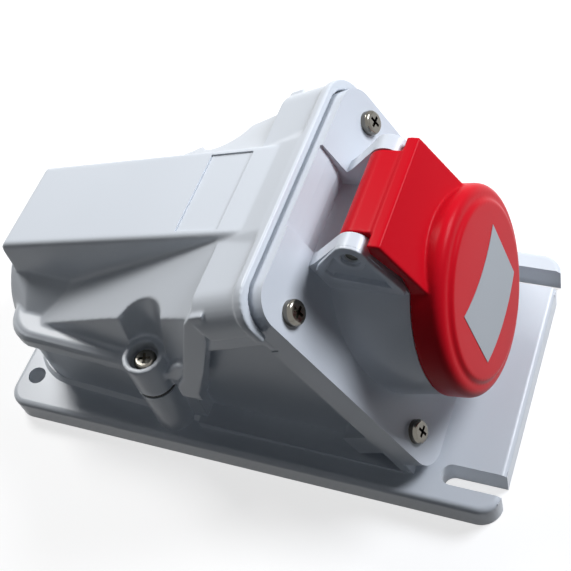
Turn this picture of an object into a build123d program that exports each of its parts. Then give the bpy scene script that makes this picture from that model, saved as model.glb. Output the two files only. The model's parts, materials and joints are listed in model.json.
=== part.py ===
from build123d import *
from math import cos, radians, sin, tan
import os

# Angled surface-mounting three-phase socket outlet.
# Frame: millimetres, +X along the mounting plate from the cable end to the socket end,
# +Z out of the wall, origin at the middle of the plate's underside, symmetric about Y = 0.

os.makedirs("parts", exist_ok=True)

# Mounting plate
plate_length = 226.0
plate_width = 125.0
plate_height = 12.5
plate_corner = 9.0
plate_skin = 3.5
hole_x = -plate_length / 2 + 9.2
hole_y = plate_width / 2 - 15.1
hole_radius = 4.2
slot_y = plate_width / 2 - 12.9
slot_radius = 4.4
slot_centre_x = plate_length / 2 - 20.6

# Lower box and its parting line with the cover
wall = 3.0
part_z = 42.0
gasket_thick = 1.5
box_left = -109.0
box_left_half = 45.5
box_step_x = -14.0
box_step_half = 49.8
box_right_half = 43.0
box_corner = 26.0
entry_z = 28.3
entry_radius = 12.0
grommet_bore = 8.0

# Inclined flange: v runs up the slope, h runs out along the flange normal
flange_angle = 63.7
flange_foot_x = 95.1
flange_low = 19.5
flange_high = 133.5
flange_half = 54.0
flange_corner = 11.0
flange_back = 9.0
seat_depth = 10.0
frame_back = 14.0
frame_half = 53.0
frame_low = 13.0
frame_split = 107.0
screw_half = 44.5
screw_low = 37.0
screw_high = 117.0

# Cover
skirt_left = -111.5
skirt_left_half = 50.0
skirt_right_half = 51.5
skirt_right = -6.0
skirt_top = 57.0
cover_left = -108.0
shoulder_slope = 0.56
shoulder_fall = 9.6
shoulder_x = -94.7
shoulder_z = 51.8
plateau_slope = 17.0
plateau_x = -104.0
plateau_z = 77.5
plateau_half = 22.0
plateau_end = -105.3
rim_front = 5.0
rim_back = 9.0
rim_high = 137.6
rim_half = 58.0
rim_corner = 13.0
boss_x = -29.6
boss_y = 50.0
boss_radius = 8.7
boss_bore = 6.3
boss_top = 60.6
boss_seat = 55.0

# Socket collar: its axis leans further out than the flange normal
collar_tilt = 77.4
collar_x = 64.0
collar_z = 63.0
collar_base_radius = 41.6
collar_rim_radius = 39.4
collar_rim = 22.0
spigot_radius = 37.4
spigot_end = 27.0
bore_radius = 32.5
shell_radius = 36.0
shell_depth = 34.0
carrier_ring = 3.0
carrier_step = 1.7

# Lid and its hinge
lid_radius = 40.0
lid_back = 22.3
lid_front = 34.2
lid_disc = 35.6
lid_disc_radius = 34.4
lid_inner_radius = 38.0
lid_inner_front = 31.0
seal_thick = 3.4
pin_x = 60.4
pin_z = 115.0
pin_radius = 2.5
pin_clearance = 0.05
ear_in = 19.0
ear_out = 24.8
ear_radius = 6.9
knuckle_half = 18.7
knuckle_radius = 6.7
arm_half = 24.8
spring_half = 11.0

# Contacts
contact_circle = 17.5
pin_bore = 3.05
earth_bore = 4.05
sleeve_wall = 1.3
carrier_radius = 26.8
carrier_front = 12.0
earth_clock = 270.0
neutral_clock = 342.0
phase_clocks = (54.0, 126.0, 198.0)


def up_slope(v, h):
    """Plate coordinates (x, z) of a point v up the flange and h out from its face."""
    a = radians(flange_angle)
    return (flange_foot_x - v * cos(a) + h * sin(a), v * sin(a) + h * cos(a))


def along_collar(s, up):
    """Plate coordinates (x, z) of a point s along the collar axis and up above it."""
    a = radians(collar_tilt)
    return (collar_x + s * sin(a) - up * cos(a), collar_z + s * cos(a) + up * sin(a))


def on_flange(h):
    """Plane parallel to the flange face: local x is Y, local y runs up the slope."""
    x, z = up_slope(0, h)
    a = radians(flange_angle)
    return Plane(origin=(x, 0, z), x_dir=(0, 1, 0), z_dir=(sin(a), 0, cos(a)))


def on_collar(s):
    """Plane square to the collar axis: local x is Y, local y runs up."""
    x, z = along_collar(s, 0)
    a = radians(collar_tilt)
    return Plane(origin=(x, 0, z), x_dir=(0, 1, 0), z_dir=(sin(a), 0, cos(a)))


def widening(z, left, right, left_half, right_half, corner):
    """Plan outline at height z that widens from left to right, with rounded left corners."""
    with BuildSketch(Plane.XY.offset(z)) as outline:
        Polygon((left, -left_half), (right, -right_half), (right, right_half), (left, left_half), align=None)
        if corner:
            fillet(outline.vertices().group_by(Axis.X)[0], corner)
    return outline.sketch


def side_view(*points):
    """Closed outline in the side view, given as (x, z) pairs."""
    with BuildSketch(Plane.XZ) as outline:
        Polygon(*points, align=None)
    return outline.sketch


def shoulder(x, below=0.0):
    """Point on the sloping shoulder of the cover at x, or a little below it."""
    return (x, shoulder_z + shoulder_slope * (x - shoulder_x) - below)


def plateau(x, below=0.0):
    """Point on the raised flat top of the cover at x, or a little below it."""
    return (x, plateau_z + tan(radians(plateau_slope)) * (x - plateau_x) - below)


def side_fall(below=0.0):
    """Solids above both shoulders, which fall away outward from the raised flat top."""
    slope = Plane(origin=(shoulder_x, 0, shoulder_z), x_dir=(0, 1, 0),
                  z_dir=Vector(1, 0, shoulder_slope).normalized())
    with BuildSketch(slope) as outline:
        for side in (-1, 1):
            Polygon((side * plateau_half, -below), (side * 70, -shoulder_fall - below), (side * 70, 12),
                    (side * plateau_half, 12), align=None)
    return outline.sketch


def around(clock, radius):
    return (radius * cos(radians(clock)), radius * sin(radians(clock)))


flange_mid = (flange_low + flange_high) / 2
flange_tall = flange_high - flange_low
screw_mid = (screw_low + screw_high) / 2
shoulder_right = 26.1
side_low = 119.0
frame_floor = (plate_height + frame_back * cos(radians(flange_angle))) / sin(radians(flange_angle))
leg_foot = (-6.0, 44.0)

# Back box: plate, low walls, cheeks under the flange and its seat frame
with BuildPart() as back_box:
    with BuildSketch() as plate_outline:
        RectangleRounded(plate_length, plate_width, plate_corner)
    extrude(amount=plate_height)
    fillet(back_box.edges().group_by(Axis.Z)[-1], 2.5)
    with BuildSketch():
        RectangleRounded(plate_length - 2 * wall, plate_width - 2 * wall, plate_corner - wall)
    extrude(amount=plate_height - plate_skin, mode=Mode.SUBTRACT)
    with BuildSketch():
        with GridLocations(0, 20, 1, 5):
            Rectangle(plate_length - wall, 2)
        with GridLocations(20, 0, 11, 1):
            Rectangle(2, plate_width - wall)
        with Locations((hole_x, hole_y), (hole_x, -hole_y)):
            Circle(hole_radius + wall)
        with Locations((slot_centre_x + 9.6, slot_y), (slot_centre_x + 9.6, -slot_y)):
            Rectangle(30, 2 * (slot_radius + wall))
        RectangleRounded(plate_length, plate_width, plate_corner, mode=Mode.INTERSECT)
    extrude(amount=plate_height - 1)
    extrude(widening(plate_height - 1, box_left, box_step_x, box_left_half, box_step_half, box_corner),
            amount=part_z - gasket_thick - plate_height + 1)
    extrude(widening(plate_height - 1, box_left - 2, box_step_x, box_left_half + 2.5,
                      box_step_half + 2.8, box_corner),
            amount=3.0, taper=40)
    with Locations((boss_x, boss_y, plate_height - 1), (boss_x, -boss_y, plate_height - 1)):
        Cylinder(boss_radius, part_z - gasket_thick - plate_height + 1, align=(Align.CENTER, Align.CENTER, Align.MIN))
    extrude(widening(plate_height, box_left + wall, box_step_x - wall, box_left_half - wall,
                      box_step_half - wall, box_corner - wall),
            amount=part_z, mode=Mode.SUBTRACT)
    extrude(side_view((box_step_x - 3, plate_height - 1), (box_step_x - 3, 50), (2, 76),
                      up_slope(110, -36), up_slope(110, -20), up_slope(frame_split, -frame_back), up_slope(frame_low, -12)),
            amount=box_right_half, both=True)
    extrude(side_view((box_step_x - 3, plate_height - 1), (box_step_x - 3, plate_height + 3.2),
                      up_slope(frame_low + 8, -12), up_slope(frame_low, -12)),
            amount=frame_half + 0.5, both=True)
    extrude(side_view((box_step_x - 4, plate_height), (box_step_x - 4, 120), up_slope(130, -frame_back),
                      up_slope(frame_floor, -frame_back)),
            amount=box_right_half - wall, both=True, mode=Mode.SUBTRACT)
    with BuildSketch(on_flange(-frame_back)):
        with Locations((0, (frame_low + frame_split) / 2)):
            Rectangle(2 * frame_half, frame_split - frame_low)
    extrude(amount=frame_back - seat_depth)
    with BuildSketch(on_flange(-30)):
        with Locations((screw_half + 1, screw_low), (-screw_half - 1, screw_low)):
            Rectangle(9.6, 12)
    extrude(amount=30 - seat_depth)
    extrude(side_view((box_step_x, -30), up_slope(frame_low - 40, -30), up_slope(frame_low - 40,
                      10), (box_step_x, 1)),
            amount=frame_half + 2, both=True, mode=Mode.SUBTRACT)
    with BuildSketch(on_flange(-frame_back - 1)):
        with Locations((0, 68)):
            Rectangle(80, 80)
    extrude(amount=6, mode=Mode.SUBTRACT)
    with BuildSketch(on_flange(-26)):
        with Locations((screw_half, screw_low), (-screw_half, screw_low)):
            Circle(3.5)
    extrude(amount=26 - seat_depth, mode=Mode.SUBTRACT)
    with Locations((boss_x, boss_y, 28), (boss_x, -boss_y, 28)):
        Cylinder(3.5, 20, align=(Align.CENTER, Align.CENTER, Align.MIN), mode=Mode.SUBTRACT)
    with Locations(Location((box_left - 1, 0, entry_z), (0, 90, 0))):
        Cylinder(entry_radius, 12, align=(Align.CENTER, Align.CENTER, Align.MIN), mode=Mode.SUBTRACT)
    with BuildSketch():
        with Locations((hole_x, hole_y), (hole_x, -hole_y)):
            Circle(hole_radius)
        with Locations((slot_centre_x, slot_y), (slot_centre_x, -slot_y)):
            Circle(slot_radius)
        with Locations((slot_centre_x + 20, slot_y), (slot_centre_x + 20, -slot_y)):
            Rectangle(40, 2 * slot_radius)
    extrude(amount=plate_height + 1, mode=Mode.SUBTRACT)
back_box.part.label = "back_box"
export_step(back_box.part, "parts/back_box.step")

# Raised flat top of the cover, with rounded edges, cut square at both ends
with BuildPart() as cover_top:
    rise = Vector(cos(radians(plateau_slope)), 0, sin(radians(plateau_slope)))
    with BuildSketch(Plane(origin=Vector(plateau_x, 0, plateau_z) - rise * 20, x_dir=(0, 1, 0), z_dir=rise)) as top_section:
        Polygon((-plateau_half, 0), (plateau_half, 0), (plateau_half + 3, -50), (-plateau_half - 3, -50), align=None)
        fillet(top_section.vertices().sort_by(Axis.Y)[-2:], 2.2)
    extrude(amount=150)
    with BuildSketch(Plane.XZ) as top_profile:
        Polygon((plateau_end, part_z + 2), plateau(plateau_end), plateau(18), (18, 100), (0, part_z + 2), align=None)
        fillet(top_profile.vertices().sort_by_distance(plateau(plateau_end))[0], 4)
    extrude(amount=60, both=True, mode=Mode.INTERSECT)

# Room inside the cover, kept clear of the driver pockets and screw bosses
with BuildPart() as cover_room:
    with BuildSketch(Plane.XY.offset(part_z + 4)) as room_outline:
        Polygon((cover_left + wall, -39.2), (5, -52), (60, -52), (60, 52), (5, 52), (cover_left + wall, 39.2), align=None)
        fillet(room_outline.vertices().group_by(Axis.X)[0], 20)
    extrude(amount=90)
    extrude(side_view((cover_left, part_z), (cover_left, 48.5), (-91, 48.5), shoulder(-85, 3.5), up_slope(134.4, -14),
                      up_slope(90, -14), (40, part_z)),
            amount=70, both=True, mode=Mode.INTERSECT)
    extrude(side_fall(3.2), amount=170, mode=Mode.SUBTRACT)
    extrude(widening(part_z - 1, box_left + wall, 10, box_left_half - wall, box_step_half - wall, box_corner - wall),
            amount=8)
    extrude(side_view((plateau_end + wall, part_z + 2), plateau(plateau_end + wall, wall), plateau(16, wall),
                      (16, part_z + 2)),
            amount=plateau_half - wall, both=True)
    for side in (-1, 1):
        with BuildSketch(Plane.XY.offset(boss_top - 4)):
            with Locations((boss_x, side * boss_y)):
                Circle(12)
        with BuildSketch(Plane.XY.offset(115)):
            with Locations((boss_x + 10.5, side * (boss_y + 2.5))):
                Circle(17.5)
        loft(mode=Mode.SUBTRACT)
    with Locations((boss_x, boss_y, part_z - 2), (boss_x, -boss_y, part_z - 2)):
        Cylinder(boss_radius, 17, align=(Align.CENTER, Align.CENTER, Align.MIN), mode=Mode.SUBTRACT)

# Skirt of the cover: rounded ledge round the cable end, sunk between ledge and shoulders
with BuildPart() as cover_skirt:
    extrude(widening(part_z, skirt_left, skirt_right, skirt_left_half, skirt_right_half, box_corner),
            amount=skirt_top - part_z)
    fillet(cover_skirt.edges().group_by(Axis.Z)[-1].filter_by(lambda e: e.center().X < skirt_right - 1), 3.5)
    with BuildSketch(Plane.XY.offset(shoulder_z)):
        for side in (-1, 1):
            Polygon((skirt_left + 4.5, side * 37), (-89, side * 40.5), (-84.5, side * 34), (-84.5, side * 10),
                    (skirt_left + 4.5, side * 10), align=None)
    extrude(amount=10, mode=Mode.SUBTRACT)

# Legs of the cover that run down the sides of the back box
with BuildPart() as cover_legs:
    for side in (-1, 1):
        with BuildSketch(Plane.XZ.offset(-side * 46)):
            Polygon((6.7, 108), (14.5, 112), up_slope(side_low, -36), leg_foot, (leg_foot[0], part_z), (-14, part_z),
                    (-13, 52), (-3.1, 80), (2.9, 97), align=None)
        extrude(amount=-side * 9.8)
    fillet(cover_legs.edges().filter_by(lambda e: abs(e.center().Y) > 55 and e.center().Z > 106
                                        and e.center().X < 15), 3.5)

# Cover: wedge with sloping shoulders, raised flat top, skirt, legs, rim and screw bosses
with BuildPart() as cover:
    with BuildSketch(Plane.XY.offset(part_z)) as body_outline:
        Polygon((cover_left, -42.2), (5, -55), (60, -55), (60, 55), (5, 55), (cover_left, 42.2), align=None)
        fillet(body_outline.vertices().group_by(Axis.X)[0], 23)
    extrude(amount=90)
    extrude(side_view((cover_left - 1, part_z), (cover_left - 1, 51.5), shoulder(-95.2), shoulder(shoulder_right),
                      up_slope(side_low, -rim_back), up_slope(side_low, -36), leg_foot, (leg_foot[0], part_z)),
            amount=70, both=True, mode=Mode.INTERSECT)
    extrude(side_fall(), amount=170, mode=Mode.SUBTRACT)
    fillet(cover.edges().filter_by(lambda e: abs(e.center().Y) > 47 and abs(e.tangent_at(0.5).Z) > 0.3
                                   and e.center().Z > 75 and e.center().X < 0), 3)
    add(cover_skirt.part)
    add(cover_legs.part)
    with BuildSketch(on_flange(-rim_back)) as rim_outline:
        with Locations((0, (side_low + rim_high) / 2)):
            Rectangle(2 * rim_half, rim_high - side_low)
        fillet(rim_outline.vertices().group_by(Axis.Y)[-1], rim_corner)
    extrude(amount=rim_back - rim_front)
    add(cover_top.part)
    with BuildSketch(Plane.YZ.offset(-110.5)):
        with Locations((0, 34)):
            Circle(34)
        with Locations((0, part_z - 40)):
            Rectangle(120, 80, mode=Mode.SUBTRACT)
    extrude(amount=5.5)
    with Locations((boss_x, boss_y, part_z), (boss_x, -boss_y, part_z)):
        Cylinder(boss_radius, boss_top - part_z, align=(Align.CENTER, Align.CENTER, Align.MIN))
    with BuildSketch(on_flange(-rim_back - 10)) as seat_block:
        with Locations((0, (side_low + rim_high - 1.2) / 2)):
            Rectangle(2 * (rim_half - 1.7), rim_high - 1.2 - side_low)
        fillet(seat_block.vertices().group_by(Axis.Y)[-1], rim_corner - 1)
    extrude(amount=10)
    add(cover_room.part, mode=Mode.SUBTRACT)
    with BuildSketch(on_flange(-frame_back)):
        with Locations((0, (frame_split + 0.5 + side_low) / 2)):
            Rectangle(2 * frame_half, side_low - frame_split - 0.5)
        with Locations((0, (side_low + flange_high + 1.5) / 2)):
            Rectangle(2 * 54.9, flange_high + 1.5 - side_low)
    extrude(amount=frame_back - rim_back)
    with BuildSketch(on_flange(-42)):
        with Locations((-48.25, 115), (48.25, 115)):
            Rectangle(9.5, 8)
        with Locations((-45, 109), (45, 109)):
            Rectangle(3, 10)
    extrude(amount=42 - frame_back)
    with BuildSketch(on_flange(-30)):
        with Locations((screw_half, screw_high), (-screw_half, screw_high)):
            Circle(5.6)
    extrude(amount=30 - rim_back)
    with BuildSketch(on_flange(-seat_depth)):
        with Locations((0, (90 + flange_high + 0.7) / 2)):
            RectangleRounded(2 * flange_half + 1.4, flange_high + 0.7 - 90, flange_corner + 0.7)
    extrude(amount=8, mode=Mode.SUBTRACT)
    with BuildSketch(on_flange(-frame_back - 2)):
        with Locations((0, 110)):
            Rectangle(80, 28)
    extrude(amount=8, mode=Mode.SUBTRACT)
    for side in (-1, 1):
        with BuildSketch(Plane.XY.offset(boss_top - 1)):
            with Locations((boss_x, side * boss_y)):
                Circle(9.6)
        with BuildSketch(Plane.XY.offset(118)):
            with Locations((boss_x + 10.5, side * (boss_y + 2.5))):
                Circle(15.2)
        loft(mode=Mode.SUBTRACT)
    with Locations((boss_x, boss_y, part_z), (boss_x, -boss_y, part_z)):
        Cylinder(boss_radius, boss_top - part_z, align=(Align.CENTER, Align.CENTER, Align.MIN))
    with Locations((boss_x, boss_y, boss_seat), (boss_x, -boss_y, boss_seat)):
        Cylinder(boss_bore, 10, align=(Align.CENTER, Align.CENTER, Align.MIN), mode=Mode.SUBTRACT)
    with Locations((boss_x, boss_y, part_z - 1), (boss_x, -boss_y, part_z - 1)):
        Cylinder(2.8, 20, align=(Align.CENTER, Align.CENTER, Align.MIN), mode=Mode.SUBTRACT)
    with BuildSketch(on_flange(-26)):
        with Locations((screw_half, screw_high), (-screw_half, screw_high)):
            Circle(3.5)
    extrude(amount=26 - seat_depth, mode=Mode.SUBTRACT)
    extrude(side_view(plateau(-13.5, 0.7), plateau(6.1, 0.7), plateau(6.1, -3), plateau(-13.5, -3)),
            amount=20, both=True, mode=Mode.SUBTRACT)
cover.part.label = "cover"
export_step(cover.part, "parts/cover.step")

# Seals of the box
with BuildPart() as cover_gasket:
    with BuildSketch(Plane.XY.offset(part_z - gasket_thick)) as gasket_outline:
        add(widening(0, box_left + 0.4, box_step_x, box_left_half - 0.4, box_step_half - 0.4, box_corner - 0.4))
        with Locations((boss_x, boss_y), (boss_x, -boss_y)):
            Circle(boss_radius - 0.4)
        add(widening(0, box_left + 2.6, box_step_x + 1, box_left_half - 2.6, box_step_half - 2.6, box_corner - 2.6),
            mode=Mode.SUBTRACT)
        with Locations((boss_x, boss_y), (boss_x, -boss_y)):
            Circle(3.6, mode=Mode.SUBTRACT)
    extrude(amount=gasket_thick)
cover_gasket.part.label = "cover_gasket"
export_step(cover_gasket.part, "parts/cover_gasket.step")

with BuildPart() as flange_gasket:
    with BuildSketch(on_flange(-seat_depth)):
        with Locations((0, flange_mid)):
            RectangleRounded(2 * flange_half - 4, flange_tall - 5, 8)
        with Locations((0, 71)):
            Rectangle(80, 84, mode=Mode.SUBTRACT)
        with Locations((0, screw_mid)):
            with GridLocations(2 * screw_half, screw_high - screw_low, 2, 2):
                Circle(3.6, mode=Mode.SUBTRACT)
    extrude(amount=seat_depth - flange_back)
flange_gasket.part.label = "flange_gasket"
export_step(flange_gasket.part, "parts/flange_gasket.step")

# Socket body: flange, tilted collar, hinge ears and rear shell in one moulding
with BuildPart() as socket_body:
    with BuildSketch(on_collar(-20)):
        Circle(collar_base_radius + 0.9)
    with BuildSketch(on_collar(collar_rim)):
        Circle(collar_rim_radius)
    loft()
    with BuildSketch(on_collar(0)):
        Circle(spigot_radius)
    extrude(amount=spigot_end)
    with BuildSketch(Plane.XZ.offset(-ear_out)):
        with Locations((pin_x, pin_z)):
            Circle(ear_radius)
        Polygon(up_slope(117.4, -2), up_slope(118.6, 2.8), (pin_x - 5.0, pin_z + 4.8), (pin_x + 5.4, pin_z + 4.3),
                (78.6, 99), (77.5, 88), (50, 84), align=None)
    extrude(amount=2 * ear_out)
    with BuildSketch(Plane.XZ.offset(-ear_in)):
        Polygon((30, 160), (30, 97.5), (95, 110), (95, 160), align=None)
    extrude(amount=2 * ear_in, mode=Mode.SUBTRACT)
    for side in (-1, 1):
        with BuildSketch(Plane.XZ.offset(side * (ear_out + 1.2))):
            Polygon((51, 101.5), (56.5, 111), (59, 119.5), (63, 119.5), (75.5, 101.5), align=None)
            with Locations((pin_x, pin_z)):
                Circle(5.2, mode=Mode.SUBTRACT)
        extrude(amount=-side * 2.2, mode=Mode.SUBTRACT)
    with BuildSketch(on_flange(-60)):
        with Locations((0, flange_mid)):
            Rectangle(300, 300)
    extrude(amount=55, mode=Mode.SUBTRACT)
    with BuildSketch(on_flange(-flange_back)) as flange_outline:
        with Locations((0, flange_mid)):
            RectangleRounded(2 * flange_half, flange_tall, flange_corner)
    extrude(amount=flange_back)
    with BuildSketch(on_collar(-shell_depth)):
        Circle(shell_radius)
    extrude(amount=shell_depth + 10)
    with BuildSketch(on_collar(-shell_depth + 2 * carrier_ring)):
        Circle(bore_radius)
    extrude(amount=90, mode=Mode.SUBTRACT)
    with BuildSketch(on_collar(-shell_depth - 1)):
        Circle(carrier_radius + 0.1)
    extrude(amount=12, mode=Mode.SUBTRACT)
    with BuildSketch(on_collar(-shell_depth - 1)):
        Circle(carrier_radius + carrier_step + 0.1)
    extrude(amount=1 + carrier_ring, mode=Mode.SUBTRACT)
    extrude(side_view((30, 160), up_slope(140, -0.9), up_slope(127, -1.6), up_slope(119, -3.2), up_slope(113, -6),
                      along_collar(-8, 38.5), along_collar(0, 39.6), along_collar(3, 42.5), (95, 110), (95, 160)),
            amount=ear_in, both=True, mode=Mode.SUBTRACT)
    with BuildSketch(on_collar(-shell_depth + 2 * carrier_ring)):
        with Locations((0, -bore_radius)):
            Rectangle(8, 4.4)
    extrude(amount=90, mode=Mode.SUBTRACT)
    with BuildSketch(on_flange(-flange_back - 1)):
        with Locations((0, screw_mid)):
            with GridLocations(2 * screw_half, screw_high - screw_low, 2, 2):
                Circle(2.8)
    extrude(amount=20, mode=Mode.SUBTRACT)
    with BuildSketch(Plane.XZ.offset(-40)):
        with Locations((pin_x, pin_z)):
            Circle(pin_radius)
    extrude(amount=80, mode=Mode.SUBTRACT)
socket_body.part.label = "socket_body"
export_step(socket_body.part, "parts/socket_body.step")

# Arm of the lid, widening from the hinge down to the cap
with BuildPart() as lid_arm:
    with BuildSketch(on_collar(8)):
        Polygon((-arm_half, 58.5), (arm_half, 58.5), (31.5, 24.7), (-31.5, 24.7), align=None)
    extrude(amount=30)
    extrude(side_view((pin_x + 7.1, pin_z + 7), (pin_x + 10.2, pin_z + 7), along_collar(27.5, 40),
                      along_collar(27, 20), along_collar(lid_back, 20), along_collar(lid_back, 40.2),
                      (pin_x + 7.1, pin_z + 3.6)),
            amount=60, both=True, mode=Mode.INTERSECT)

# Lid: cap, raised disc, arm and hinge knuckle in one moulding
with BuildPart() as lid:
    with BuildSketch(on_collar(lid_back)):
        Circle(lid_radius)
    extrude(amount=lid_front - lid_back)
    fillet(lid.edges().sort_by(Axis.X)[-1], 3)
    with BuildSketch(on_collar(lid_front - 1)):
        Circle(lid_disc_radius)
    extrude(amount=lid_disc - lid_front + 1)
    fillet(lid.edges().filter_by(GeomType.CIRCLE).sort_by(lambda e: on_collar(0).to_local_coords(e.center()).Z)[-1], 0.9)
    add(lid_arm.part)
    with BuildSketch(on_collar(lid_back - 1)):
        Circle(lid_inner_radius)
    extrude(amount=lid_inner_front - lid_back + 1, mode=Mode.SUBTRACT)
    with BuildSketch(Plane.XZ.offset(-knuckle_half)):
        with Locations((pin_x, pin_z)):
            Circle(knuckle_radius)
        Polygon((pin_x, pin_z + knuckle_radius), (pin_x + 9, pin_z + 7), (pin_x + 11, pin_z + 2.6), along_collar(26, 38.6),
                along_collar(lid_back, 40.6), (pin_x + 4.5, pin_z - 4.9), align=None)
    extrude(amount=2 * knuckle_half)
    with BuildSketch(Plane.XZ.offset(-40)):
        with Locations((pin_x, pin_z)):
            Circle(pin_radius + pin_clearance)
    extrude(amount=80, mode=Mode.SUBTRACT)
    with BuildSketch(Plane.XZ.offset(-spring_half)):
        with Locations((pin_x, pin_z)):
            Circle(5.2)
        Polygon((pin_x - 5.2, pin_z), (pin_x + 5.2, pin_z), (pin_x + 5.2, pin_z - 12), (pin_x - 5.2, pin_z - 12), align=None)
    extrude(amount=2 * spring_half, mode=Mode.SUBTRACT)
lid.part.label = "lid"
export_step(lid.part, "parts/lid.step")

with BuildPart() as lid_seal:
    with BuildSketch(on_collar(lid_inner_front - seal_thick)):
        Circle(lid_inner_radius)
        Circle(lid_inner_radius - 5.5, mode=Mode.SUBTRACT)
    extrude(amount=seal_thick)
    fillet(lid_seal.edges().group_by(Axis.X)[0], 0.8)
lid_seal.part.label = "lid_seal"
export_step(lid_seal.part, "parts/lid_seal.step")

with BuildPart() as lid_label:
    with BuildSketch(on_collar(lid_disc)):
        with BuildLine():
            ThreePointArc((-21, 13.2), (0, 9.9), (21, 13.2))
            Line((21, 13.2), (21, -16.2))
            ThreePointArc((21, -16.2), (0, -19.5), (-21, -16.2))
            Line((-21, -16.2), (-21, 13.2))
        make_face()
    extrude(amount=0.2)
lid_label.part.label = "lid_label"
export_step(lid_label.part, "parts/lid_label.step")

# Hinge pin and the torsion spring that closes the lid
with BuildPart() as hinge_pin:
    with BuildSketch(Plane.XZ.offset(-ear_out + 0.6)):
        with Locations((pin_x, pin_z)):
            Circle(pin_radius)
    extrude(amount=2 * (ear_out - 0.6))
    chamfer(hinge_pin.edges(), 0.3)
hinge_pin.part.label = "hinge_pin"
export_step(hinge_pin.part, "parts/hinge_pin.step")

with BuildPart() as lid_spring:
    with BuildLine() as coil:
        Helix(pitch=1.75, height=2 * spring_half - 2.4, radius=pin_radius + 0.63,
              center=(pin_x, -spring_half + 1.2, pin_z), direction=(0, 1, 0))
    with BuildSketch(Plane(origin=coil.line @ 0, z_dir=coil.line % 0)):
        Circle(0.6)
    sweep()
lid_spring.part.label = "lid_spring"
export_step(lid_spring.part, "parts/lid_spring.step")

# Contact carrier and its five sleeves
with BuildPart() as contact_carrier:
    with BuildSketch(on_collar(-shell_depth)):
        Circle(carrier_radius + carrier_step)
    extrude(amount=carrier_ring)
    with BuildSketch(on_collar(-shell_depth)):
        Circle(carrier_radius)
    extrude(amount=shell_depth + carrier_front)
    with BuildSketch(on_collar(-shell_depth - 1)):
        with Locations(*[around(clock, contact_circle) for clock in phase_clocks + (neutral_clock,)]):
            Circle(pin_bore + sleeve_wall + 0.1)
        with Locations(around(earth_clock, contact_circle)):
            Circle(earth_bore + sleeve_wall + 0.1)
    extrude(amount=shell_depth + carrier_front + 2, mode=Mode.SUBTRACT)
contact_carrier.part.label = "contact_carrier"
export_step(contact_carrier.part, "parts/contact_carrier.step")

with BuildPart() as phase_sleeves:
    with BuildSketch(on_collar(-shell_depth - 16)):
        with Locations(*[around(clock, contact_circle) for clock in phase_clocks]):
            Circle(pin_bore + sleeve_wall)
    extrude(amount=shell_depth + 16 + carrier_front - 1)
    with BuildSketch(on_collar(-shell_depth + 4)):
        with Locations(*[around(clock, contact_circle) for clock in phase_clocks]):
            Circle(pin_bore)
    extrude(amount=shell_depth + carrier_front, mode=Mode.SUBTRACT)
    with BuildSketch(on_collar(-shell_depth - 17)):
        with Locations(*[around(clock, contact_circle) for clock in phase_clocks]):
            Circle(2.6)
    extrude(amount=13, mode=Mode.SUBTRACT)
phase_sleeves.part.label = "phase_sleeves"
export_step(phase_sleeves.part, "parts/phase_sleeves.step")

with BuildPart() as neutral_sleeve:
    with BuildSketch(on_collar(-shell_depth - 16)):
        with Locations(around(neutral_clock, contact_circle)):
            Circle(pin_bore + sleeve_wall)
    extrude(amount=shell_depth + 16 + carrier_front - 1)
    with BuildSketch(on_collar(-shell_depth + 4)):
        with Locations(around(neutral_clock, contact_circle)):
            Circle(pin_bore)
    extrude(amount=shell_depth + carrier_front, mode=Mode.SUBTRACT)
    with BuildSketch(on_collar(-shell_depth - 17)):
        with Locations(around(neutral_clock, contact_circle)):
            Circle(2.6)
    extrude(amount=13, mode=Mode.SUBTRACT)
neutral_sleeve.part.label = "neutral_sleeve"
export_step(neutral_sleeve.part, "parts/neutral_sleeve.step")

with BuildPart() as earth_sleeve:
    with BuildSketch(on_collar(-shell_depth - 16)):
        with Locations(around(earth_clock, contact_circle)):
            Circle(earth_bore + sleeve_wall)
    extrude(amount=shell_depth + 16 + carrier_front - 1)
    with BuildSketch(on_collar(-shell_depth + 4)):
        with Locations(around(earth_clock, contact_circle)):
            Circle(earth_bore)
    extrude(amount=shell_depth + carrier_front, mode=Mode.SUBTRACT)
    with BuildSketch(on_collar(-shell_depth - 17)):
        with Locations(around(earth_clock, contact_circle)):
            Circle(2.9)
    extrude(amount=13, mode=Mode.SUBTRACT)
earth_sleeve.part.label = "earth_sleeve"
export_step(earth_sleeve.part, "parts/earth_sleeve.step")

# Rear keeper plate that holds the carrier in the shell
with BuildPart() as carrier_keeper:
    with BuildSketch(on_collar(-shell_depth - 3)):
        Circle(shell_radius - 1)
        with Locations(*[around(clock, contact_circle) for clock in phase_clocks + (neutral_clock,)]):
            Circle(pin_bore + sleeve_wall + 0.1, mode=Mode.SUBTRACT)
        with Locations(around(earth_clock, contact_circle)):
            Circle(earth_bore + sleeve_wall + 0.1, mode=Mode.SUBTRACT)
    extrude(amount=3)
carrier_keeper.part.label = "carrier_keeper"
export_step(carrier_keeper.part, "parts/carrier_keeper.step")

# Flange and cover screws with their threaded inserts
with BuildPart() as flange_screws:
    with BuildSketch(on_flange(0)):
        with Locations((0, screw_mid)):
            with GridLocations(2 * screw_half, screw_high - screw_low, 2, 2):
                Circle(4.8)
    extrude(amount=3.2)
    fillet(flange_screws.edges().filter_by(GeomType.CIRCLE).filter_by(
        lambda e: on_flange(0).to_local_coords(e.center()).Z > 3), 1.6)
    with BuildSketch(on_flange(-24)):
        with Locations((0, screw_mid)):
            with GridLocations(2 * screw_half, screw_high - screw_low, 2, 2):
                Circle(2.4)
    extrude(amount=24)
    with BuildSketch(on_flange(1.2)):
        with Locations((0, screw_mid)):
            with GridLocations(2 * screw_half, screw_high - screw_low, 2, 2):
                Rectangle(5, 1.2)
                Rectangle(1.2, 5)
    extrude(amount=4, mode=Mode.SUBTRACT)
flange_screws.part.label = "flange_screws"
export_step(flange_screws.part, "parts/flange_screws.step")

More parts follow.
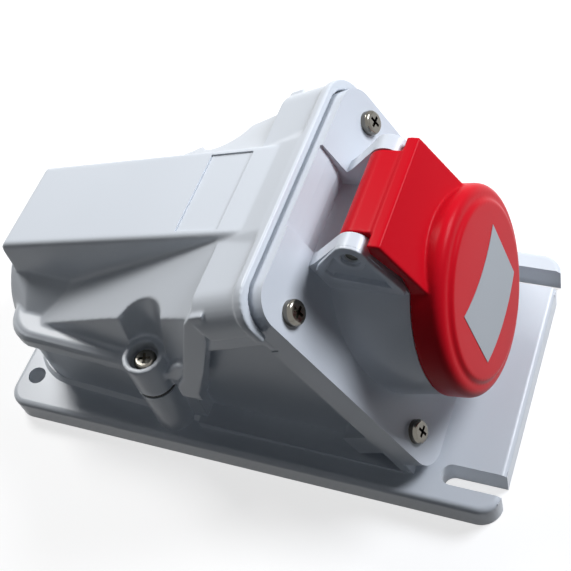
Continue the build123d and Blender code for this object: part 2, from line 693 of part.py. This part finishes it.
with BuildPart() as flange_inserts:
    with BuildSketch(on_flange(-25)):
        with Locations((0, screw_mid)):
            with GridLocations(2 * screw_half, screw_high - screw_low, 2, 2):
                Circle(3.5)
                Circle(2.4, mode=Mode.SUBTRACT)
    extrude(amount=14)
flange_inserts.part.label = "flange_inserts"
export_step(flange_inserts.part, "parts/flange_inserts.step")

with BuildPart() as cover_screws:
    for side in (-1, 1):
        with Locations((boss_x, side * boss_y, boss_seat)):
            Cylinder(4.8, 3.2, align=(Align.CENTER, Align.CENTER, Align.MIN))
    fillet(cover_screws.edges().group_by(Axis.Z)[-1], 1.6)
    for side in (-1, 1):
        with Locations((boss_x, side * boss_y, 30)):
            Cylinder(2.4, boss_seat - 30, align=(Align.CENTER, Align.CENTER, Align.MIN))
    with BuildSketch(Plane.XY.offset(boss_seat + 1.2)):
        with Locations((boss_x, boss_y), (boss_x, -boss_y)):
            Rectangle(5, 1.2, rotation=20)
            Rectangle(1.2, 5, rotation=20)
    extrude(amount=4, mode=Mode.SUBTRACT)
cover_screws.part.label = "cover_screws"
export_step(cover_screws.part, "parts/cover_screws.step")

with BuildPart() as cover_inserts:
    with BuildSketch(Plane.XY.offset(28)):
        with Locations((boss_x, boss_y), (boss_x, -boss_y)):
            Circle(3.5)
            Circle(2.4, mode=Mode.SUBTRACT)
    extrude(amount=12)
cover_inserts.part.label = "cover_inserts"
export_step(cover_inserts.part, "parts/cover_inserts.step")

# Cable entry: rubber grommet and its inner ring
with BuildPart() as entry_grommet:
    with BuildSketch(Plane.YZ.offset(box_left - 1.6)):
        with Locations((0, entry_z)):
            Circle(entry_radius + 1.0)
    extrude(amount=1.6)
    with BuildSketch(Plane.YZ.offset(box_left)):
        with Locations((0, entry_z)):
            Circle(entry_radius)
    extrude(amount=wall + 6)
    with BuildSketch(Plane.YZ.offset(box_left - 2)):
        with Locations((0, entry_z)):
            Circle(grommet_bore)
    extrude(amount=20, mode=Mode.SUBTRACT)
entry_grommet.part.label = "entry_grommet"
export_step(entry_grommet.part, "parts/entry_grommet.step")

with BuildPart() as entry_ring:
    with BuildSketch(Plane.YZ.offset(box_left + wall)):
        with Locations((0, entry_z)):
            Circle(entry_radius + 2.6)
            Circle(entry_radius, mode=Mode.SUBTRACT)
    extrude(amount=4)
entry_ring.part.label = "entry_ring"
export_step(entry_ring.part, "parts/entry_ring.step")
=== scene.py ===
import json
from math import cos, pi, radians, sin, tan

import bmesh
import bpy
from mathutils import Matrix, Vector

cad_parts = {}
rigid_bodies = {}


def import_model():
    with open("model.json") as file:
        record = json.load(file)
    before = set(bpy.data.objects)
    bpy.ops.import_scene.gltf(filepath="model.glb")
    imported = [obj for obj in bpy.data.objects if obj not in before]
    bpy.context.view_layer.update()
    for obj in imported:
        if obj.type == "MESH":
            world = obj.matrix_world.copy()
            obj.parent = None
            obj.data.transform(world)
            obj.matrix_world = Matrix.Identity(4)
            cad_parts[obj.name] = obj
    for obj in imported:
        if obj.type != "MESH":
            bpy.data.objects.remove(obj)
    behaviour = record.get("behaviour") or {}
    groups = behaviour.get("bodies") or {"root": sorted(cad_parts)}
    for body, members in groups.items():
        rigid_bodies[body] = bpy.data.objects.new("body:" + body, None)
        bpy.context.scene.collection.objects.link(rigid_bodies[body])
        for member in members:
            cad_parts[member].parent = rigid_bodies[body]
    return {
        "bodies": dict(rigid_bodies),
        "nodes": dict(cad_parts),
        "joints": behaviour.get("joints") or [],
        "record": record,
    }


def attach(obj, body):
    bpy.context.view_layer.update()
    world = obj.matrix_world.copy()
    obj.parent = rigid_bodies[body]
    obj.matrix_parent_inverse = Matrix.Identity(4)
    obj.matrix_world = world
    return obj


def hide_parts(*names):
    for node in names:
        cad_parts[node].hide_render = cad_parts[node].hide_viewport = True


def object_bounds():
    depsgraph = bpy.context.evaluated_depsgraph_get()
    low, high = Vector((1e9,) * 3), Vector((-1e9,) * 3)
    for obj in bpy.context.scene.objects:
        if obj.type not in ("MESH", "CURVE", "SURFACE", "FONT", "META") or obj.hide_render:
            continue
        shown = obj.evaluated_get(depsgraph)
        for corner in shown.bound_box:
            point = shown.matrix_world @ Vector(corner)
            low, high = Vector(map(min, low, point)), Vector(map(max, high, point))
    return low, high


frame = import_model()
nodes = frame["nodes"]
first_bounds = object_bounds()

MM_PER_METRE = 1000
BOTH_SIDES = (-1, 1)


# Finishes: colours are sRGB hex values, pattern sizes are millimetres on the object

DRIFT_MM = 60  # patches of slightly darker colour
GLOSS_MM = 30  # patches of slightly other gloss
GRAIN_MM = 0.6  # pits of an eroded mould, drawn a little coarse so that they show
POLISH_MM = 1.5  # patches on a screw head or pin
GLOSS_SPREAD = 0.015
NOISE_LOW, NOISE_HIGH = 0.3, 0.7  # most of a noise lies between these


def linear(hex_code):
    """Linear red, green, blue and alpha of an sRGB hex colour."""
    values = [int(hex_code[i:i + 2], 16) / 255 for i in (1, 3, 5)]
    return [v / 12.92 if v <= 0.04045 else ((v + 0.055) / 1.055) ** 2.4 for v in values] + [1.0]


def set_inputs(node, inputs):
    """Link each input to the socket given for it, or give it the value."""
    for name, value in inputs.items():
        if isinstance(value, bpy.types.NodeSocket):
            node.id_data.links.new(value, node.inputs[name])
        else:
            node.inputs[name].default_value = value


def add_node(tree, kind, inputs=None, **settings):
    """Add one node with its settings, values and links."""
    node = tree.nodes.new(kind)
    for name, value in settings.items():
        setattr(node, name, value)
    set_inputs(node, inputs or {})
    return node


def plain_finish(name, colour, roughness, metallic=0.0, specular=0.5):
    """Material with the even values of a finish, ready for its patterns."""
    material = bpy.data.materials.new(name)
    material.use_nodes = True
    shader = material.node_tree.nodes["Principled BSDF"]
    set_inputs(shader, {"Base Color": linear(colour), "Roughness": roughness,
                        "Metallic": metallic, "Specular IOR Level": specular})
    return material, material.node_tree, shader


def mottle(tree, size_mm, detail, low, high):
    """Value that wanders from low to high over patches of a real size."""
    place = add_node(tree, "ShaderNodeTexCoord").outputs["Object"]
    noise = add_node(tree, "ShaderNodeTexNoise",
                     {"Vector": place, "Scale": MM_PER_METRE / size_mm, "Detail": detail})
    spread = add_node(tree, "ShaderNodeMapRange",
                      {"Value": noise.outputs["Fac"], "From Min": NOISE_LOW,
                       "From Max": NOISE_HIGH, "To Min": low, "To Max": high})
    return spread.outputs["Result"]


def moulded(name, colour, shade, roughness, grain=0.006, specular=0.3):
    """Moulded skin: colour that drifts slowly, slightly uneven gloss and a fine grain."""
    material, tree, shader = plain_finish(name, colour, roughness, specular=specular)
    tint = add_node(tree, "ShaderNodeMix",
                    {"A": linear(colour), "B": linear(shade),
                     "Factor": mottle(tree, DRIFT_MM, 1, 0, 1)}, data_type="RGBA")
    place = add_node(tree, "ShaderNodeTexCoord").outputs["Object"]
    pits = add_node(tree, "ShaderNodeTexNoise",
                    {"Vector": place, "Scale": MM_PER_METRE / GRAIN_MM, "Detail": 2})
    relief = add_node(tree, "ShaderNodeBump",
                      {"Height": pits.outputs["Fac"], "Distance": grain / MM_PER_METRE,
                       "Strength": 1.0})
    gloss = mottle(tree, GLOSS_MM, 1, roughness - GLOSS_SPREAD, roughness + GLOSS_SPREAD)
    set_inputs(shader, {"Base Color": tint.outputs["Result"], "Roughness": gloss,
                        "Normal": relief.outputs["Normal"]})
    return material


def bright_metal(name, colour, roughness):
    """Bare or plated metal whose polish varies over small patches."""
    material, tree, shader = plain_finish(name, colour, roughness, metallic=1.0)
    polish = mottle(tree, POLISH_MM, 3, roughness - 0.06, roughness + 0.08)
    set_inputs(shader, {"Roughness": polish})
    return material


# ABS from an eroded mould: satin, with wide soft highlights
grey_abs = moulded("Grey ABS", "#D3D8DE", "#CFD4DA", 0.30)
# Polyamide of the socket: the same satin, a trace bluer
grey_polyamide = moulded("Grey polyamide", "#D3D8DF", "#CED3DA", 0.30)
# Polyamide of the lid: smoother, a full red that hardly mirrors the pale room
red_polyamide = moulded("Red polyamide", "#CC1222", "#C40F1E", 0.3, 0.003, 0.05)
# Glass-filled polyamide round the contacts: near black, dull from its fibres
black_polyamide = moulded("Black polyamide", "#17181A", "#1C1D1F", 0.45, 0.02)
# Pressed rubber: matt, with a coarser grain
black_rubber = moulded("Black rubber", "#141414", "#1A1A1A", 0.62, 0.03)
grey_rubber = moulded("Grey rubber", "#5A5F63", "#555A5E", 0.6, 0.03)
# Laminated foil: silver-grey and smooth, without the flash of bare metal
silver_foil = moulded("Silver polyester foil", "#A4A9AE", "#A0A5AA", 0.34, 0.004, 0.2)
# Zinc plating on pressed heads: dark and bright patches side by side
plated_steel = bright_metal("Zinc-plated steel", "#77746D", 0.17)
# Drawn wire: duller than the plating
spring_steel = bright_metal("Spring steel", "#A9A9A9", 0.32)
# Turned rod: warm yellow with a clear shine
turned_brass = bright_metal("Turned brass", "#C9A866", 0.26)

finishes = {
    grey_abs: ("back_box", "cover", "entry_ring"),
    grey_polyamide: ("socket_body",),
    red_polyamide: ("lid",),
    black_polyamide: ("contact_carrier", "carrier_keeper"),
    black_rubber: ("cover_gasket", "flange_gasket", "lid_seal"),
    grey_rubber: ("entry_grommet",),
    silver_foil: ("lid_label",),
    plated_steel: ("hinge_pin", "flange_screws", "cover_screws"),
    spring_steel: ("lid_spring",),
    turned_brass: ("phase_sleeves", "neutral_sleeve", "earth_sleeve", "flange_inserts",
                   "cover_inserts"),
}
for finish, names in finishes.items():
    for name in names:
        nodes[name].data.materials.clear()
        nodes[name].data.materials.append(finish)


# Solids for the pieces made here, in millimetres. x runs along the back plate from the cable
# end to the socket end, y across and z out of the wall.

FLANGE_ANGLE = radians(63.7)
FLANGE_FOOT = 95.1
COLLAR_ANGLE = radians(77.4)
COLLAR_CENTRE = (64.0, 63.0)
PIN = (60.4, 115.0)
SHARP_ANGLE = radians(40)


def tilted(x, z, angle):
    """Frame at (x, z) whose own z climbs at the angle and whose x is the normal to it."""
    s, c = sin(angle), cos(angle)
    return Matrix(((s, 0, -c, x), (0, 1, 0, 0), (c, 0, s, z), (0, 0, 0, 1)))


level = Matrix.Identity(4)
flange_frame = tilted(FLANGE_FOOT, 0, FLANGE_ANGLE)
collar_frame = tilted(*COLLAR_CENTRE, COLLAR_ANGLE)


def to_collar(x, z):
    """Side-view point in the collar frame."""
    local = collar_frame.inverted() @ Vector((x, 0, z))
    return (local.x, local.z)


def up_slope(v, h):
    """Side-view point at v up the flange's slope and h out from its face."""
    point = flange_frame @ Vector((h, 0, v))
    return (point.x, point.z)


def solid(layers, frame=level):
    """Closed solid through rings with equal counts of points, capped at both ends."""
    bm = bmesh.new()
    rings = [[bm.verts.new(frame @ Vector(point)) for point in layer] for layer in layers]
    for low, high in zip(rings, rings[1:]):
        for i in range(len(low)):
            j = (i + 1) % len(low)
            bm.faces.new((low[i], low[j], high[j], high[i]))
    bm.faces.new(rings[0])
    bm.faces.new(rings[-1])
    bmesh.ops.recalc_face_normals(bm, faces=bm.faces)
    for vertex in bm.verts:
        vertex.co /= MM_PER_METRE
    mesh = bpy.data.meshes.new("solid")
    bm.to_mesh(mesh)
    bm.free()
    made = bpy.data.objects.new("solid", mesh)
    bpy.context.collection.objects.link(made)
    return made


def across(points, low, high, frame=level):
    """Side outline of (x, z) points swept across from y = low to y = high."""
    return solid([[(x, y, z) for x, z in points] for y in (low, high)], frame)


def along(points, low, high, frame=level, high_points=None):
    """Section of (y, z) points swept along x, where the last section may differ."""
    return solid([[(low, y, z) for y, z in points],
                  [(high, y, z) for y, z in high_points or points]], frame)


def on_flange(points, low, high):
    """Outline of (across, up the slope) points swept out along the flange's normal."""
    return along(points, low, high, flange_frame)


def rising(points, low, high):
    """Plan outline of (x, y) points swept up from z = low to z = high."""
    return solid([[(x, y, z) for x, y in points] for z in (low, high)])


def revolved(profile, frame, count=128):
    """Solid of revolution about the frame's x through (x, radius) points, capped at both ends."""
    return solid([[(x, y, z) for y, z in circle(0, 0, radius, count)] for x, radius in profile],
                 frame)


def circle(x, y, radius, count=48):
    """Points round a circle."""
    return [(x + radius * cos(2 * pi * i / count), y + radius * sin(2 * pi * i / count))
            for i in range(count)]


def arc(x, y, radius, start, end, steps=8):
    """Points on an arc about (x, y), by angles in degrees."""
    turns = [radians(start + (end - start) * i / steps) for i in range(steps + 1)]
    return [(x + radius * cos(turn), y + radius * sin(turn)) for turn in turns]


def rounded(corners, steps=8):
    """Outline with arcs at corners given as (x, y, radius)."""
    outline = []
    for i, (x, y, radius) in enumerate(corners):
        if not radius:
            outline.append((x, y))
            continue
        here = Vector((x, y))
        before = (Vector(corners[i - 1][:2]) - here).normalized()
        after = (Vector(corners[(i + 1) % len(corners)][:2]) - here).normalized()
        half = before.angle(after) / 2
        centre = here + (before + after).normalized() * radius / sin(half)
        start = here + before * radius / tan(half) - centre
        end = here + after * radius / tan(half) - centre
        sweep = start.angle_signed(end)
        for step in range(steps + 1):
            turn = Matrix.Rotation(-sweep * step / steps, 2)
            outline.append(tuple(centre + turn @ start))
    return outline


def mirrored(points):
    """Outline from its half at negative y, closed by the same half mirrored."""
    return list(points) + [(x, -y, *rest) for x, y, *rest in reversed(points)]


def block(y, v, width, tall):
    """Rectangle about (y, v)."""
    return [(y - width / 2, v - tall / 2), (y + width / 2, v - tall / 2),
            (y + width / 2, v + tall / 2), (y - width / 2, v + tall / 2)]


def arched(half, low, high, radius):
    """Outline on the flange, square at its foot and rounded at its two top corners."""
    return rounded([(-half, low, 0), (half, low, 0), (half, high, radius), (-half, high, radius)])


def apply_modifiers(piece):
    """Turn a piece's modifiers into its mesh."""
    depsgraph = bpy.context.evaluated_depsgraph_get()
    mesh = bpy.data.meshes.new_from_object(piece.evaluated_get(depsgraph))
    piece.modifiers.clear()
    piece.data = mesh


def combine(piece, tools, operation):
    """Join, cut or intersect a piece with tool solids, which are used up."""
    group = bpy.data.collections.new("tools")
    for tool in tools:
        group.objects.link(tool)
    modifier = piece.modifiers.new("combine", "BOOLEAN")
    modifier.operation = operation
    modifier.solver = "EXACT"
    modifier.operand_type = "COLLECTION"
    modifier.collection = group
    apply_modifiers(piece)
    for tool in tools:
        bpy.data.objects.remove(tool)
    bpy.data.collections.remove(group)


def soften(piece, voxel_mm, passes=8, keep=0.4):
    """Round every edge as a mould does: even voxels, smoothing, then fewer faces."""
    remesh = piece.modifiers.new("voxels", "REMESH")
    remesh.mode = "VOXEL"
    remesh.voxel_size = voxel_mm / MM_PER_METRE
    smooth = piece.modifiers.new("smooth", "SMOOTH")
    smooth.factor = 0.5
    smooth.iterations = passes
    fewer = piece.modifiers.new("fewer", "DECIMATE")
    fewer.ratio = keep
    apply_modifiers(piece)


def dress(piece, name, body, finish):
    """Name a finished shape, give it its finish and let it ride on its body."""
    piece.name = name
    piece.data.name = name
    piece.data.materials.clear()
    piece.data.materials.append(finish)
    for face in piece.data.polygons:
        face.use_smooth = True
    piece.data.set_sharp_from_angle(angle=SHARP_ANGLE)
    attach(piece, body)


# Lid: cap with a rounded rim and a raised disc, arm of one width, knuckle on the hinge pin
LID_BACK, LID_FRONT = 22.3, 34.2
LID_RADIUS, RIM_ROUND = 40, 4
DISC_FOOT, DISC_EDGE, DISC_ROUND = 34.8, 32.6, 1.4
HOLLOW_RADIUS, HOLLOW_CEILING = 38, 31
ARM_HALF, KNUCKLE_HALF, KNUCKLE_RADIUS = 24.8, 18.7, 6.7
PIN_HOLE_RADIUS = 2.55
COIL_HALF, COIL_RADIUS = 11, 5.2

lid_shell = revolved([(LID_BACK, LID_RADIUS),
                      *arc(LID_FRONT - RIM_ROUND, LID_RADIUS - RIM_ROUND, RIM_ROUND, 90, 0),
                      (LID_FRONT, DISC_FOOT), *arc(LID_FRONT, DISC_EDGE, DISC_ROUND, 60, 0)],
                     collar_frame)
arm = across([to_collar(66.9, 122.9), to_collar(71.5, 123.3), (29.4, 31), (30.6, 22),
              (LID_BACK, 22), (LID_BACK, 40.2), to_collar(67.4, 118.6)],
             -ARM_HALF, ARM_HALF, collar_frame)
knuckle = across(circle(*PIN, KNUCKLE_RADIUS), -KNUCKLE_HALF, KNUCKLE_HALF)
web = across([(60.4, 121.7), (67.4, 122.4), (69.5, 121.5), (71.4, 117.6), (81.0, 106.3),
              (76.9, 107.5), (64.9, 110.1)], -KNUCKLE_HALF, KNUCKLE_HALF)
combine(lid_shell, [arm, knuckle, web], "UNION")
hollow = revolved([(LID_BACK - 1, HOLLOW_RADIUS), (HOLLOW_CEILING, HOLLOW_RADIUS)], collar_frame)
pin_hole = across(circle(*PIN, PIN_HOLE_RADIUS), -30, 30)
coil_space = across(circle(*PIN, COIL_RADIUS), -COIL_HALF, COIL_HALF)
coil_slot = across([(55.2, 115), (65.6, 115), (65.6, 103), (55.2, 103)], -COIL_HALF, COIL_HALF)
combine(lid_shell, [hollow, pin_hole, coil_space, coil_slot], "DIFFERENCE")
soften(lid_shell, voxel_mm=0.5)
dress(lid_shell, "lid_shell", "lid_group", red_polyamide)
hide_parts("lid")


# Cover: wedge whose shoulders fall outward, with a raised flat top, a hood over the cable
# entry, a ledge round its foot, legs at the sides and a rim round the flange
PART_Z = 42
LEDGE_Z = 51.2
SHOULDER_START, SHOULDER_SLOPE = (-94.7, 51.8), 0.56
SHOULDER_FALL, FALL_WIDTH = 14.7, 75
TOP_START, TOP_SLOPE = (-104, 78.7), tan(radians(16.45))
TOP_END = -105.3
TOP_HALF, TOP_ROUND = 22, 2.2
END_LEAN = radians(73.55)
BOSS = (-29.6, 50.0)
BOSS_RADIUS, DRIVER_RADIUS, COVER_SCREW_RADIUS = 8.7, 6.3, 2.8
POCKET_LEAN = (10.5, 2.5)
POCKET_HIGH = 118
HOOD_RADIUS, HOOD_SPREAD = 34, 1.24
HOOD_END, HOOD_WIDEST, HOOD_STOP = -108.8, -97, -76
SCREW_HALF, SCREW_HIGH = 44.5, 117.0
RECESS_DEPTH = 0.7
POCKET_FOOT, POCKET_RADIUS, POCKET_MOUTH = 59.6, 9.6, 15.2
BOSS_TOP = 60.6
SHOULDER_WALL, TOP_WALL = 3.2, 3
WIDE = 70  # cutters reach this far to each side, past the cover


def shoulder(x, below=0.0):
    """Side-view point on the shoulders' inner edge, or below it."""
    return (x, SHOULDER_START[1] + SHOULDER_SLOPE * (x - SHOULDER_START[0]) - below)


def flat_top(x, below=0.0):
    """Side-view point on the raised top, or below it."""
    return (x, TOP_START[1] + TOP_SLOPE * (x - TOP_START[0]) - below)


def above_shoulder(side, below):
    """Solid above one shoulder, which falls away outward from the raised top."""
    sections = []
    for x in (-125, 60):
        z = shoulder(x, below)[1]
        sections.append([(side * TOP_HALF, z), (side * FALL_WIDTH, z - SHOULDER_FALL),
                         (side * FALL_WIDTH, z + 20), (side * TOP_HALF, z + 20)])
    return along(sections[0], -125, 60, high_points=sections[1])


def driver_pocket(side, foot, radius, top_radius):
    """Flared pocket that leads a driver down to a cover screw."""
    x, y = BOSS
    lean_x, lean_y = POCKET_LEAN
    return solid([[(*point, foot) for point in circle(x, side * y, radius)],
                  [(*point, POCKET_HIGH)
                   for point in circle(x + lean_x, side * (y + lean_y), top_radius)]])


def boss(side, radius, low, high):
    """Upright cylinder about a cover screw."""
    return rising(circle(BOSS[0], side * BOSS[1], radius), low, high)


# Wedge between the seam, the shoulders and the flange's back
body_plan = rounded(mirrored([(-104, -38.8, 16), (-41, -44.8, 0), (4, -51.3, 0), (60, -52, 0)]))
cover_shell = rising(body_plan, PART_Z, 132)
wedge = across([(-109, PART_Z), (-109, LEDGE_Z), shoulder(-95.8), shoulder(26.1),
                up_slope(119, -9), up_slope(119, -36), (-6, 44), (-6, PART_Z)], -WIDE, WIDE)
combine(cover_shell, [wedge], "INTERSECT")
combine(cover_shell, [above_shoulder(side, 0) for side in BOTH_SIDES], "DIFFERENCE")

# Raised top, with rounded long edges and a leaning end
top_frame = tilted(TOP_END, flat_top(TOP_END)[1], END_LEAN)
top_section = rounded([(-TOP_HALF, 0, TOP_ROUND), (TOP_HALF, 0, TOP_ROUND),
                       (TOP_HALF + 3, -50, 0), (-TOP_HALF - 3, -50, 0)])
raised_top = along(top_section, -20, 150, top_frame)
top_side = rounded([(TOP_END, 44, 0), (*flat_top(TOP_END), 4), (*flat_top(18), 0), (18, 100, 0),
                    (0, 44, 0)])
combine(raised_top, [across(top_side, -60, 60)], "INTERSECT")

# Hood: half barrel that widens towards the shoulders
barrel = arc(0, HOOD_RADIUS, HOOD_RADIUS, 14, 166, 40)
wide_barrel = [(y * HOOD_SPREAD, z) for y, z in barrel]
additions = [raised_top, along(barrel, HOOD_END, HOOD_WIDEST, high_points=wide_barrel),
             along(wide_barrel, HOOD_WIDEST - 0.1, HOOD_STOP)]

# Ledge in three steps, which the softening turns into one rounded edge
for low, high, inset in ((PART_Z, 48.4, 0), (48, 50.2, 0.8), (50, LEDGE_Z, 2.4)):
    ledge_plan = rounded(mirrored([(-105 + inset, -48 + inset, 14), (-6, -51.5 + inset, 0)]))
    additions.append(rising(ledge_plan, low, high))

# Leg and gusset on each side, corner pads and screw pads behind the flange
leg = [(4.2, 101), (8, 106.5), (14, 109.5), (10.8, 91.5), (2.2, 67.1), (-6, 46.9),
       (-6, PART_Z), (-15.5, PART_Z), (-15, 50), (-10.5, 57), (3.1, 98)]
gusset = [(-23, 49), (-22, 51.5), (-13, 62), (-9, 62), (-10, 49)]
for side in BOTH_SIDES:
    additions.append(across(leg, *sorted((side * 46, side * 55.4))))
    additions.append(across(gusset, *sorted((side * 44, side * 52.6))))
    additions.append(on_flange(block(side * 48.25, 115, 9.5, 8), -42, -13))
    additions.append(on_flange(block(side * 45, 109, 3, 10), -42, -13))
    additions.append(on_flange(circle(side * SCREW_HALF, SCREW_HIGH, 5.6), -30, -9))

# Rim round the flange: body, lip and the filling under them
additions.append(on_flange(arched(56.3, 120.5, 136.4, 10), -31, -8))
additions.append(on_flange(arched(58, 119, 137.6, 13), -9, -5))
additions.append(on_flange(block(0, 113.2, 106, 12), -14, -9))
additions.append(on_flange(arched(54.9, 119, 134.6, 11), -14, -8))
combine(cover_shell, additions, "UNION")
combine(cover_shell, [driver_pocket(side, POCKET_FOOT, POCKET_RADIUS, POCKET_MOUTH)
                      for side in BOTH_SIDES], "DIFFERENCE")
combine(cover_shell, [boss(side, BOSS_RADIUS, PART_Z - 0.1, BOSS_TOP) for side in BOTH_SIDES],
        "UNION")

# Room inside, which leaves a wall round the pockets and bosses
room = rising(rounded(mirrored([(-101, -35.6, 13), (-41, -41.8, 0), (4, -48.2, 0),
                                (60, -49, 0)])), 46, 136)
room_side = across([(-108, PART_Z), (-108, 47.5), (-91, 47.5), shoulder(-85, 3.5),
                    up_slope(134.4, -14), up_slope(90, -14), (40, PART_Z)], -WIDE, WIDE)
combine(room, [room_side], "INTERSECT")
combine(room, [above_shoulder(side, SHOULDER_WALL) for side in BOTH_SIDES]
        + [driver_pocket(side, POCKET_FOOT - 3, POCKET_RADIUS + 2.4, POCKET_MOUTH + 2.3)
           for side in BOTH_SIDES], "DIFFERENCE")
foot_room = rising(rounded(mirrored([(-102, -42.5, 12), (10, -46.8, 0)])), 41, 49)
top_room = across([(TOP_END + TOP_WALL, 44), flat_top(TOP_END + TOP_WALL, TOP_WALL),
                   flat_top(16, TOP_WALL), (16, 44)], -(TOP_HALF - TOP_WALL), TOP_HALF - TOP_WALL)
combine(room, [foot_room, top_room], "UNION")
combine(room, [boss(side, BOSS_RADIUS - 0.3, 40, 58) for side in BOTH_SIDES], "DIFFERENCE")
flange_seat = on_flange(arched(54.7, 90, 134.2, 11.7), -10, -2)
shell_opening = on_flange(block(0, 110, 80, 28), -16, -8)
combine(cover_shell, [room, flange_seat, shell_opening], "DIFFERENCE")

bores = []
for side in BOTH_SIDES:
    bores += [boss(side, DRIVER_RADIUS, 55, 65), boss(side, COVER_SCREW_RADIUS, 41, 60),
              on_flange(circle(side * SCREW_HALF, SCREW_HIGH, 3.5), -26, -9)]
combine(cover_shell, bores, "DIFFERENCE")
soften(cover_shell, voxel_mm=0.6)

# Shallow recess on the raised top, cut last so that its edges stay crisp
recess = across([flat_top(-13.5, RECESS_DEPTH), flat_top(6.1, RECESS_DEPTH), flat_top(6.1, -3),
                 flat_top(-13.5, -3)], -19.2, 19.2)
combine(cover_shell, [recess], "DIFFERENCE")
dress(cover_shell, "cover_shell", "housing", grey_abs)
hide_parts("cover")


# Ear rims: a rounded border on the outer face of each hinge ear, and a ring round the pin's end
EAR_FACE_IN, EAR_FACE_OUT = 23.4, 26.2
RING_RADIUS, RING_BORE = 5.6, 3.5
ear_edge = [*arc(*PIN, 6.9, 10, 150), (47.4, 109.0), (45.8, 105.4), (49.4, 99.4), (77.6, 98.8),
            (77.9, 101.0)]
ear_panel = [*arc(*PIN, 5.2, 10, 150), (50.5, 107.6), (49.4, 105.6), (51.8, 102.6),
             (73.6, 101.8)]
rims = []
for side in BOTH_SIDES:
    low, high = sorted((side * EAR_FACE_IN, side * EAR_FACE_OUT))
    rim = across(ear_edge, low, high)
    combine(rim, [across(ear_panel, low - 1, high + 1)], "DIFFERENCE")
    combine(rim, [across(circle(*PIN, RING_RADIUS), low, high)], "UNION")
    combine(rim, [across(circle(*PIN, RING_BORE), low - 1, high + 1)], "DIFFERENCE")
    rims.append(rim)
ear_rims = rims.pop()
combine(ear_rims, rims, "UNION")
soften(ear_rims, voxel_mm=0.25)
dress(ear_rims, "ear_rims", "housing", grey_polyamide)


# Floor and room: white where they are seen or mirrored, dim where they light the object

def seen(tree):
    """1 for rays that show the background: camera, glossy and transmission."""
    rays = add_node(tree, "ShaderNodeLightPath").outputs
    total = rays["Is Camera Ray"]
    for name in ("Is Glossy Ray", "Is Transmission Ray"):
        larger = add_node(tree, "ShaderNodeMath", {0: total, 1: rays[name]}, operation="MAXIMUM")
        total = larger.outputs["Value"]
    return total


# Paper: even and matt, it takes the object's shadow; its glow lifts it to white
paper, tree, dim_paper = plain_finish("White paper floor", "#4A4D50", 0.7, specular=0.1)
sheet = add_node(tree, "ShaderNodeBsdfDiffuse", {"Color": linear("#A8A8A8")})
glow = add_node(tree, "ShaderNodeEmission", {"Color": linear("#FFFFFF"), "Strength": 0.72})
white_paper = add_node(tree, "ShaderNodeAddShader",
                       {0: sheet.outputs["BSDF"], 1: glow.outputs["Emission"]})
shown_paper = add_node(tree, "ShaderNodeMixShader",
                       {"Fac": seen(tree), 1: dim_paper.outputs["BSDF"],
                        2: white_paper.outputs["Shader"]})
set_inputs(tree.nodes["Material Output"], {"Surface": shown_paper.outputs["Shader"]})

FLOOR_SIZE, FLOOR_GAP = 6, 0.0003
bpy.ops.mesh.primitive_plane_add(size=FLOOR_SIZE, location=(0, 0, first_bounds[0][2] - FLOOR_GAP))
floor = bpy.context.object
floor.name = "floor"
floor.data.materials.append(paper)

world = bpy.data.worlds.new("studio")
bpy.context.scene.world = world
world.use_nodes = True
tree = world.node_tree
dim_room = tree.nodes["Background"]
set_inputs(dim_room, {"Color": linear("#DCE6F2"), "Strength": 0.05})
white_room = add_node(tree, "ShaderNodeBackground", {"Color": (1, 1, 1, 1)})
shown_room = add_node(tree, "ShaderNodeMixShader",
                      {"Fac": seen(tree), 1: dim_room.outputs["Background"],
                       2: white_room.outputs["Background"]})
set_inputs(tree.nodes["World Output"], {"Surface": shown_room.outputs["Shader"]})


# Lamps, all aimed at the middle of the housing
LIT_POINT = Vector((0, 0, 0.05))


def lamp(name, power, size, location, colour="#FFFFFF"):
    """Square soft lamp: power in watts, size and place in metres."""
    data = bpy.data.lights.new(name, "AREA")
    data.energy = power
    data.size = size
    data.color = linear(colour)[:3]
    made = bpy.data.objects.new(name, data)
    bpy.context.collection.objects.link(made)
    made.location = location
    made.rotation_euler = (LIT_POINT - Vector(location)).to_track_quat("-Z", "Y").to_euler()


lamp("key", 8.2, 0.35, (-0.6, 0.4, 0.87))
lamp("side", 12.0, 0.4, (0.66, 0.52, 0.72), "#F4F8FF")
lamp("fill", 0.12, 0.8, (0.4, -0.85, 0.45), "#DDE8FF")


# Camera, where the photograph's was
PHOTO_WIDTH_PX, FOCAL_PX = 571, 1084.3
SENSOR_MM = 36
CAMERA_PLACE = (0.17517, -0.2203, 0.4058)
CAMERA_RIGHT = (0.9179, 0.3339, -0.2145)
CAMERA_BACK = (0.3635, -0.4905, 0.792)

camera_data = bpy.data.cameras.new("camera")
camera_data.sensor_width = SENSOR_MM
camera_data.lens = SENSOR_MM * FOCAL_PX / PHOTO_WIDTH_PX
camera_data.clip_start = 0.01
camera = bpy.data.objects.new("camera", camera_data)
bpy.context.collection.objects.link(camera)
right = Vector(CAMERA_RIGHT).normalized()
back = Vector(CAMERA_BACK).normalized()
up = back.cross(right).normalized()
right = up.cross(back)
turn = Matrix((right, up, back)).transposed().to_4x4()
camera.matrix_world = Matrix.Translation(CAMERA_PLACE) @ turn
bpy.context.scene.camera = camera
bpy.context.scene.view_settings.view_transform = "Standard"
